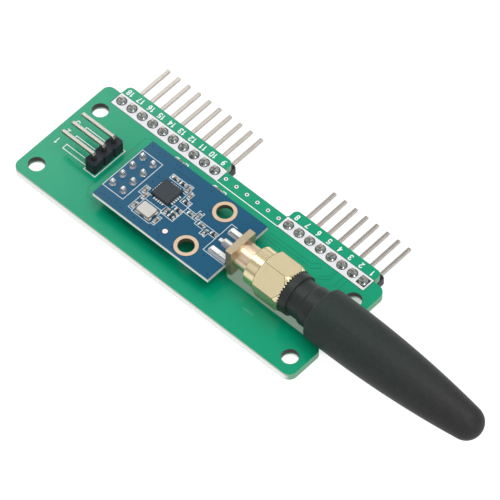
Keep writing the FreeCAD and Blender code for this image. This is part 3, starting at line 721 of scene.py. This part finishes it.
def nut_piece():
    """Coupling nut: a round skirt, then a hexagon whose back end a 30 degree cone cuts and whose front a
    steeper one, with a thin dark line along each of its folds, a painted dark reflection."""
    flat = 4.0
    back_lean = math.tan(math.radians(30))
    front_lean = math.tan(math.radians(60))
    skirt = 3.8
    thread = 3.2
    lip = 2.8
    lip_depth = 1.5
    facet = 0.0
    step = 0.03
    turned_by = 42.0
    piece = cut_bar("coupling_nut_gold", [
        (nut_back, 0, skirt - 0.1),
        (nut_back + 0.1, 0, skirt),
        (hex_back, 0, skirt),
        (hex_back, 0, flat - step),
        (hex_back, back_lean, facet),
        (nut_front, -front_lean, facet),
        (nut_front, 0, flat - step),
        (nut_front, 0, lip),
        (nut_front - lip_depth, 0, lip),
        (nut_front - lip_depth, 0, thread),
        (nut_back, 0, thread),
    ], 6, flat, gold_plate, turned_by=turned_by)
    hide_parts("coupling_nut")
    side_angle = math.radians(60)
    line_steps = 40
    sunk = 0.02
    from_middle = np.linspace(-side_angle / 2, side_angle / 2, line_steps)[None, :]
    middle = math.radians(turned_by) + np.arange(6)[:, None] * side_angle
    reach = flat / np.cos(from_middle) + 0 * middle
    back_arcs, front_arcs = [
        round_axis(end + lean * (reach - flat), reach - sunk, middle + from_middle)
        for end, lean in ((hex_back, back_lean), (nut_front, -front_lean))
    ]
    share = np.linspace(0, 1, line_steps)[None, :, None]
    folds = back_arcs[:, :1] * (1 - share) + front_arcs[:, :1] * share
    lines = np.concatenate([back_arcs, front_arcs, folds])
    # Thin dark lines along the folds, a painted dark reflection
    thin_lines("coupling_nut_fold_reflections", lines, 0.045, fold_dark_reflection)


def socket_piece():
    """Edge connector: a square flange, a turned neck and barrel in front of it, and four legs on the
    board."""
    half = 3.175
    bore = 2.07
    neck = 2.65
    barrel = 3.1
    thread_start = nut_back + 0.25
    thread_end = 21.5
    facet = 0.0
    # The flange takes the darker copy of the socket's gold, painted shade
    flange = cut_bar("edge_socket_flange", [
        (radio_right, 0, facet),
        (flange_front, 0, facet),
        (flange_front, 0, neck + 0.15),
        (flange_front, 0, bore),
        (radio_right, 0, bore),
        (radio_right, 0, neck + 0.15),
    ], 4, half, flange_shaded_gold)
    bevel_folds(flange, "soft_folds", 20, 0.1).harden_normals = True
    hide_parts("socket_body")
    pin_bore = 2.35
    pin_bore_depth = 1.95
    neck_profile = rounded_profile([
        (radio_right + 0.5, bore, 0),
        (radio_right + 0.5, neck, 0.01),
        (flange_front + 0.02, neck, 0.01),
        (thread_start, neck, 0.05),
        (thread_start, barrel, 0.1),
        (thread_end, barrel, 0.4),
        (thread_end, pin_bore, 0.05),
        (thread_end - pin_bore_depth, pin_bore, 0.05),
        (thread_end - pin_bore_depth, bore, 0),
    ])
    turned("edge_socket_barrel", neck_profile, socket_gold, closed=True)
    leg_half = 0.475
    leg_side = 2.55
    leg_reach = 3.9
    leg_gap = 0.04
    lows = []
    highs = []
    for side in (-leg_side, leg_side):
        for low in (radio_top + leg_gap, radio_bottom - leg_gap - 2 * leg_half):
            lows.append((radio_right - leg_reach, side - leg_half, low))
            highs.append((radio_right + 0.15, side + leg_half, low + 2 * leg_half))
    rounded_blocks("edge_socket_legs", lows, highs, 0.16, leg_tin)


sleeve_piece()
core_piece()
nut_piece()
socket_piece()

pad_foot = 0.9
pad_neck = 0.43
pad_climb = 0.75
edge_fillets = solder_fillets(
    "edge_row_solder", edge_centres[:-1], pad_foot, pad_neck, pad_climb, carrier_top, solder_tin
)
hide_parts("edge_solder")
radio_fillets = solder_fillets("radio_row_solder", radio_centres, 0.7, 0.4, 0.85, radio_top, radio_solder)
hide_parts("radio_strip_solder")
tail_fillets = solder_fillets(
    "tail_row_solder", radio_centres + serial_centres, 0.8, pad_neck, 0.6, 0.0, solder_tin, down=True
)
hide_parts("tail_solder")


# Print, pads and rings on the boards

print_height = 0.02
trace_height = 0.006
strip_low = 10.75
strip_high = 13.62
first_pin_x = row_x[-1]

# Digits as lines on a square of one by one
digits = {
    "0": [[(0.2, 0), (0.8, 0), (1, 0.2), (1, 0.8), (0.8, 1), (0.2, 1), (0, 0.8), (0, 0.2), (0.2, 0)]],
    "1": [[(0.25, 0.8), (0.6, 1), (0.6, 0)]],
    "2": [[(0, 0.8), (0.2, 1), (0.8, 1), (1, 0.8), (1, 0.6), (0, 0), (1, 0)]],
    "3": [[(0, 0.85), (0.2, 1), (0.8, 1), (1, 0.8), (0.8, 0.52), (0.4, 0.52)],
          [(0.8, 0.52), (1, 0.25), (0.8, 0), (0.2, 0), (0, 0.15)]],
    "4": [[(0.8, 0), (0.8, 1), (0, 0.3), (1, 0.3)]],
    "5": [[(1, 1), (0.1, 1), (0, 0.55), (0.8, 0.6), (1, 0.35), (0.8, 0), (0.2, 0), (0, 0.15)]],
    "6": [[(0.9, 1), (0.4, 0.9), (0, 0.45), (0.2, 0), (0.8, 0), (1, 0.3), (0.8, 0.55), (0, 0.45)]],
    "7": [[(0, 1), (1, 1), (0.35, 0)]],
    "8": [[(0.2, 0.52), (0, 0.78), (0.2, 1), (0.8, 1), (1, 0.78), (0.8, 0.52), (0.2, 0.52), (0, 0.25),
           (0.2, 0), (0.8, 0), (1, 0.25), (0.8, 0.52)]],
    "9": [[(0.1, 0), (0.6, 0.1), (1, 0.55), (0.8, 1), (0.2, 1), (0, 0.7), (0.2, 0.45), (1, 0.55)]],
}


def number_lines(number, centre_x, centre_y, height):
    """Lines of a plain number, to be read from the pins' side, so turned by half a turn."""
    wide = height * 0.5
    step = height * 0.75
    text = str(number)
    span = wide + (len(text) - 1) * step
    lines = []
    for place, digit in enumerate(text):
        left = place * step - span / 2
        for line in digits[digit]:
            lines.append([(centre_x - left - x * wide, centre_y - (y - 0.5) * height) for x, y in line])
    return lines


def carrier_strokes(name, strokes, width, finish, height=print_height):
    """Flat strokes on the carrier's face."""
    print_strokes(name, strokes, width, carrier_top, height, finish)


# White fields round the two pin rows, with square ends, and a darker line round each
strip_middle = (strip_low + strip_high) / 2
strip_width = strip_high - strip_low
strip_half = strip_width / 2
strip_ends = [(-30.45, -4.56), (10.06, 30.5)]
strips = [(left + strip_half, strip_middle, right - strip_half, strip_middle) for left, right in strip_ends]
shade_width = strip_width + 0.28
carrier_strokes("pad_row_print", strips, strip_width, print_pale)
carrier_strokes("pad_row_shade", strips, shade_width, mask_shade, trace_height)

# Thin lines on the carrier: serial header's bracket, row edge, fingers and the brackets round the chips
line_width = 0.16
serial_bracket = [(-21.6, 4.54), (-21.0, 4.54), (-21.0, -3.24), (-23.7, -3.24), (-23.7, -2.8)]
finger_left = -29.7
finger_right = -24.0
finger_start = -1.36
finger_width = 1.08
carrier_lines = [serial_bracket, [(-4.56, 10.79), (10.06, 10.79)]]
for place in range(3):
    low = finger_start + place * pitch
    end = low - finger_width
    carrier_lines.append([(finger_right, low), (finger_left, low), (finger_left, end), (finger_right, end)])
for left in (-13.44, -4.28):
    carrier_lines.append([(left + 0.69, 9.9), (left + 0.24, 9.9), (left, 9.65), (left, 8.3)])
    carrier_lines.append([(left + 2.24, 9.9), (left + 2.93, 9.9), (left + 2.93, 8.3)])
carrier_strokes("carrier_print", joined(carrier_lines), line_width, print_white)

# Numbers along the pin rows and beside the serial header
number_row_y = 14.54
number_height = 1.0
number_strokes = []
for number in range(1, short_ways + long_ways + 1):
    place = number - 1 if number <= short_ways else number - 1 + bare_ways
    number_x = first_pin_x - place * pitch + 0.03
    number_strokes += joined(number_lines(number, number_x, number_row_y, number_height))
carrier_strokes("carrier_numbers", number_strokes, 0.18, print_white)
serial_number_height = 1.25
serial_strokes = []
for place in range(3):
    serial_strokes += joined(number_lines(place + 1, -31.6, -1.9 + place * pitch, serial_number_height))
carrier_strokes("serial_numbers", serial_strokes, line_width, print_white)

# Gaps between the copper fields, as lines a little darker than the mask over them
trace_lines = [
    [(10.1, 8.93), (20.0, 8.93), (21.3, 9.93)],
    [(10.1, 8.17), (20.7, 8.17), (22.0, 9.3)],
    [(9.6, 7.5), (13.7, 7.5), (14.5, 6.7), (22.3, 6.7), (24.6, 8.4), (24.6, 10.5)],
    [(22.9, 7.9), (24.1, 8.9), (24.1, 10.5)],
    [(26.1, 8.0), (26.1, 10.5)],
    [(27.1, 8.0), (27.1, 10.5)],
    [(-19.2, 9.9), (-20.3, 8.9), (-20.3, -5.7), (-19.0, -7.1), (-2.0, -7.1)],
]
carrier_strokes("carrier_traces", joined(trace_lines), 0.14, trace_green, trace_height)
carrier_strokes("carrier_scratch", [(17.63, -6.15, 19.92, -6.06)], 0.07, scratch_grey, trace_height)

# Rims of the soldered pads; the first pad is square, a stroke with next to no length
rim_height = print_height * 1.6
flat_rings("pad_row_rims", edge_centres[:-1], 1.02, 0.82, carrier_top, rim_height, mask_gap)
next_to_none = 0.001
first_pad = [(first_pin_x, row_y - next_to_none, first_pin_x, row_y + next_to_none)]
carrier_strokes("first_pad_rim", first_pad, 1.98, mask_gap, rim_height)
first_centre = [(first_pin_x, row_y)]
solder_fillets("first_pad_solder", first_centre, pad_foot, pad_neck, pad_climb, carrier_top, solder_tin)

# Rings, rims and middles of the bare plated holes; the middles are dark discs of painted shade
bare_shift_x = 0.2
bare_shift_y = -0.03
bare_centres = [(x + bare_shift_x, row_y + bare_shift_y) for x in bare_x]
for name, outer, inner, height, slot, finish, steps in (
    ("bare_hole_rings", 0.39, 0.2, print_height, "solder_tin", print_white, 24),
    ("bare_hole_rims", 0.48, 0.37, trace_height, "carrier_mask", mask_shade, 24),
    ("bare_hole_middles", 0.22, 0.01, 0.008, "carrier_mask", hole_middle_shade, 16),
):
    flat_rings(name, bare_centres, outer, inner, carrier_top, height, finish, steps)

# Walls of the carrier's mounting holes, painted near black as shade, and rings, rims and walls of the
# radio board's, whose walls are a darker copy of the rings' plating, partly plating and partly painted
# shade
mount_x = 30.6
mount_y = 8.15
mount_radius = 1.6
wall = 0.03
mount_centres = [(x, y) for x in (-mount_x, mount_x) for y in (-mount_y, mount_y)]
# Dark tubes inside the mounting holes, painted shade on the walls
tubes(
    "mount_hole_walls", mount_centres, mount_radius, mount_radius - wall, 0.45, carrier_top - 0.01,
    mount_wall_shade
)
radio_holes = [(radio_hole_x, -radio_hole_y), (radio_hole_x, radio_hole_y)]
radio_radius = 1.55
flat_rings(
    "radio_hole_rings", radio_holes, 2.25, radio_radius, radio_top, 0.03, ring_gold, steps=72
)
flat_rings("radio_ring_edges", radio_holes, 2.34, 2.22, radio_top, 0.02, mask_gap, steps=72)
# Hole walls in the darker copy of the plating, partly painted shade
tubes(
    "radio_hole_walls", radio_holes, radio_radius, radio_radius - wall, radio_bottom + 0.01,
    radio_top + 0.02, plated_wall_shade
)

# Metal corners on the crystal's tray, each of two bars given from the crystal's centre
crystal_x = -7.13
crystal_y = -4.33
crystal_half_x = 1.6
crystal_half_y = 1.25
corner_low = radio_top + 0.01
corner_high = radio_top + 0.36
proud = 0.06
bars = [
    (crystal_half_x - 1.1, crystal_half_x - 0.1, crystal_half_y - proud, crystal_half_y + proud),
    (crystal_half_x - proud, crystal_half_x + proud, crystal_half_y - 0.75, crystal_half_y - 0.1),
]
corner_lows = []
corner_highs = []
for side_x, side_y in ((-1, -1), (-1, 1), (1, -1), (1, 1)):
    for near_x, far_x, near_y, far_y in bars:
        xs = sorted([side_x * near_x, side_x * far_x])
        ys = sorted([side_y * near_y, side_y * far_y])
        corner_lows.append((crystal_x + xs[0], crystal_y + ys[0], corner_low))
        corner_highs.append((crystal_x + xs[1], crystal_y + ys[1], corner_high))
rounded_blocks("crystal_corners", corner_lows, corner_highs, 0.04, lead_tin)

# Solder in front of the connector's centre contact
contact_low = [(6.3, -0.42, radio_top - 0.1)]
contact_high = [(7.4, 0.42, radio_top + 0.3)]
rounded_blocks("contact_solder", contact_low, contact_high, 0.18, leg_solder)

# Lines printed on the radio board: header, chip parts, crystal, antenna path and connector
radio_lines = [
    [(-17.0, -5.2), (-12.12, -5.2), (-12.12, 5.03), (-17.0, 5.03), (-17.0, -5.2)],
    [(-5.58, 3.5), (-5.58, 3.8), (-9.33, 3.8), (-9.33, 4.88), (-5.6, 4.88), (-5.6, 5.08), (-4.58, 5.08),
     (-4.58, 4.05)],
    [(-3.85, 4.13), (-4.42, 4.13), (-4.42, 1.25), (-2.42, 1.25)],
    [(-3.42, 4.05), (-3.42, 2.38), (-2.42, 2.38), (-2.42, 0.03)],
    [(-5.4, 2.6), (-5.4, 3.0), (-4.65, 3.0)],
    [(-5.37, -1.13), (-5.37, -2.7), (-4.9, -2.7)],
    [(-4.53, -0.67), (-4.53, 0.03), (0.75, 0.03)],
    [(-2.37, 0.03), (-2.37, -2.8), (-5.3, -2.8)],
    [(-6.17, -1.13), (-4.6, -1.13)],
    [(-10.08, -1.13), (-8.92, -1.13)],
    [(-10.5, -2.13), (-11.2, -2.13), (-11.2, -0.12), (-10.12, -0.12), (-10.12, -1.13)],
    [(-10.33, -2.13), (-10.33, -5.7), (-9.42, -5.7)],
    [(-9.33, -1.35), (-9.33, -5.92), (-5.25, -5.92), (-4.9, -5.58), (-4.22, -5.58), (-4.22, -3.5),
     (-4.85, -3.5)],
    [(-9.33, -2.42), (-5.42, -2.42)],
    [(-5.15, -2.6), (-5.15, -3.7)],
    [(-2.25, 1.17), (-0.35, 1.17)],
    [(-0.1, 2.17), (-0.33, 2.17), (-0.33, 0.03)],
    [(0.5, 2.17), (0.75, 2.17), (0.75, -0.5), (2.78, -0.5), (2.78, -1.5), (3.2, -1.5)],
    [(3.55, -1.5), (3.97, -1.5), (3.97, -0.5), (5.7, -0.5)],
    [(0.75, 0.63), (5.7, 0.63)],
    [(7.0, 3.8), (5.7, 3.8), (5.7, -3.55), (10.5, -3.55)],
]
print_strokes("radio_print", joined(radio_lines), 0.125, radio_top, print_height, print_faint)
back_trace = [(-12.5, 5.85, -4.4, 5.85)]
print_strokes("radio_trace", back_trace, 0.12, radio_top, trace_height, trace_blue)
radio_vias = [
    (-16.3, 6.8), (-14.4, 6.7), (-10.3, 6.8), (-9.5, 6.85), (-1.9, 6.7), (1.3, -6.9),
    (-15.9, -6.8), (-15.1, -6.6), (-14.1, -6.7), (-11.2, -6.8), (-9.6, -6.6), (-8.0, -6.7),
    (-6.4, -6.7), (-4.5, -6.3), (-2.0, -6.7), (0.75, -4.6), (-10.9, 2.7), (-10.9, 1.2),
    (-13.3, 6.9), (-12.6, -6.6), (-3.2, -6.0), (6.6, -4.4), (9.9, -6.9), (0.9, 3.4),
]
flat_rings("radio_vias", radio_vias, 0.15, 0.01, radio_top, trace_height, via_blue, steps=16)
mark = (-1.87, -5.2)
flat_rings("radio_mark_rim", [mark], 0.62, 0.46, radio_top, trace_height, mask_gap, steps=32)
flat_rings("radio_mark", [mark], 0.5, 0.01, radio_top, print_height, dot_pink, steps=32)


# Stage, light and camera


def stage_floor():
    """Plain pale floor under the part, lit softly from itself, less so in painted shadows, tinted green,
    under the slot and under the far right mounting hole."""
    half = 1500.0 * MM
    level = floor_level * MM
    slot_middle = (19 * MM, 1.5 * MM, 0)
    slot_shrink = (1 / (15.5 * MM), 1 / (5.5 * MM), 0)
    hole_shadow = (28.6 * MM, 10.2 * MM, level)
    shadow_hue = (0.18, 0.25, 0.19, 1)
    mesh = bpy.data.meshes.new("floor")
    corners = [(-half, -half, level), (half, -half, level), (half, half, level), (-half, half, level)]
    mesh.from_pydata(corners, [], [[0, 1, 2, 3]])
    floor = bpy.data.objects.new("floor", mesh)
    bpy.context.scene.collection.objects.link(floor)
    material, tree, shader = new_material("floor_white", 0.9, 0.0)
    place = tree.nodes.new("ShaderNodeTexCoord").outputs["Object"]
    from_slot = calculate_vector(tree, "SUBTRACT", place, slot_middle)
    shrunk = calculate_vector(tree, "MULTIPLY", from_slot, slot_shrink)
    away = calculate_vector(tree, "LENGTH", shrunk, result="Value")
    from_hole = calculate_vector(tree, "DISTANCE", place, hole_shadow, result="Value")
    # Painted shadows: the floor's glow falls under the slot and near the far right mounting hole, towards a
    # green-grey hue
    slot_glow = climb_between(tree, away, 0.75, 1.15, smooth=True)
    hole_glow = climb_between(tree, from_hole, 1.2 * MM, 2.6 * MM, bottom=0.45, smooth=True)
    glow = calculate(tree, "MULTIPLY", slot_glow, hole_glow)
    feed(tree, shader.inputs["Base Color"], (0.15, 0.15, 0.15, 1))
    feed(tree, shader.inputs["Emission Strength"], 0.94)
    feed(tree, shader.inputs["Emission Color"], blend_between(tree, glow, shadow_hue, (1, 1, 1, 1)))
    mesh.materials.append(material)


def level_axes(back):
    """Level direction to the right of a view, and the one up from it, given the direction backwards."""
    right = np.cross([0, 0, 1.0], back)
    right = right / np.linalg.norm(right)
    return right, np.cross(back, right)


def face(thing, right, up, back, place):
    """Puts a light or the camera at a place, with its own axes along three directions."""
    axes = np.stack([right, up, back, np.asarray(place, float) * MM], -1)
    thing.matrix_world = Matrix([*axes.tolist(), [0, 0, 0, 1]])


def soft_light(name, place, target, size, power):
    """Square area light that faces a target."""
    lamp = bpy.data.lights.new(name, "AREA")
    lamp.shape = "SQUARE"
    lamp.size = size * MM
    lamp.energy = power
    holder = bpy.data.objects.new(name, lamp)
    bpy.context.scene.collection.objects.link(holder)
    back = np.asarray(place, float) - np.asarray(target, float)
    back = back / np.linalg.norm(back)
    face(holder, *level_axes(back), back, place)


def studio():
    """White room light, stronger from above on the left and the back, with soft boxes."""
    world = bpy.data.worlds.new("studio")
    world.use_nodes = True
    bpy.context.scene.world = world
    tree = world.node_tree
    ambient = tree.nodes["Background"]
    feed(tree, ambient.inputs["Color"], (1, 1, 1, 1))
    place = tree.nodes.new("ShaderNodeTexCoord").outputs["Generated"]
    side = calculate_vector(tree, "DOT_PRODUCT", place, (-0.6, 0.3, 0.74), result="Value")
    feed(tree, ambient.inputs["Strength"], climb_between(tree, side, -0.5, 0.8, bottom=0.26, top=0.47))
    middle = (10, 0, 0)
    soft_light("top_box", (120, 90, 430), middle, 300, 1.1)
    soft_light("over_box", (-180, -45, 440), middle, 170, 0.3)
    soft_light("left_box", (-350, -80, 260), middle, 220, 0.15)
    soft_light("right_box", (380, -60, 200), middle, 160, 0.45)
    soft_light("front_box", (-185, -380, 256), middle, 260, 0.1)
    soft_light("near_box", (250, -260, 500), middle, 220, 0.45)
    soft_light("back_box", (-185, 408, 210), middle, 260, 0.08)
    soft_light("low_box", (180, -420, 110), middle, 240, 0.14)
    soft_light("sheen_box", (-297, 155, 300), (-297.1, 155, 0), 230, 0.52)
    bpy.context.scene.view_settings.view_transform = "Standard"


def camera_view():
    """Camera at the photograph's viewing angle, from a turn about Z, a height above the floor and a small
    roll."""
    place = (371.0, -376.709, 730.881)
    turn = math.radians(43.49)
    height = math.radians(54.28)
    roll = math.radians(-0.68)
    back = np.array([
        math.sin(turn) * math.cos(height),
        -math.cos(turn) * math.cos(height),
        math.sin(height),
    ])
    level_right, level_up = level_axes(back)
    right = level_right * math.cos(roll) + level_up * math.sin(roll)
    up = -level_right * math.sin(roll) + level_up * math.cos(roll)
    lens = bpy.data.cameras.new("camera")
    lens.sensor_fit = "HORIZONTAL"
    lens.sensor_width = 36.0
    lens.lens = 368.73
    lens.clip_start = 0.05
    lens.clip_end = 10.0
    camera = bpy.data.objects.new("camera", lens)
    bpy.context.scene.collection.objects.link(camera)
    face(camera, right, up, back, place)
    bpy.context.scene.camera = camera


stage_floor()
studio()
camera_view()
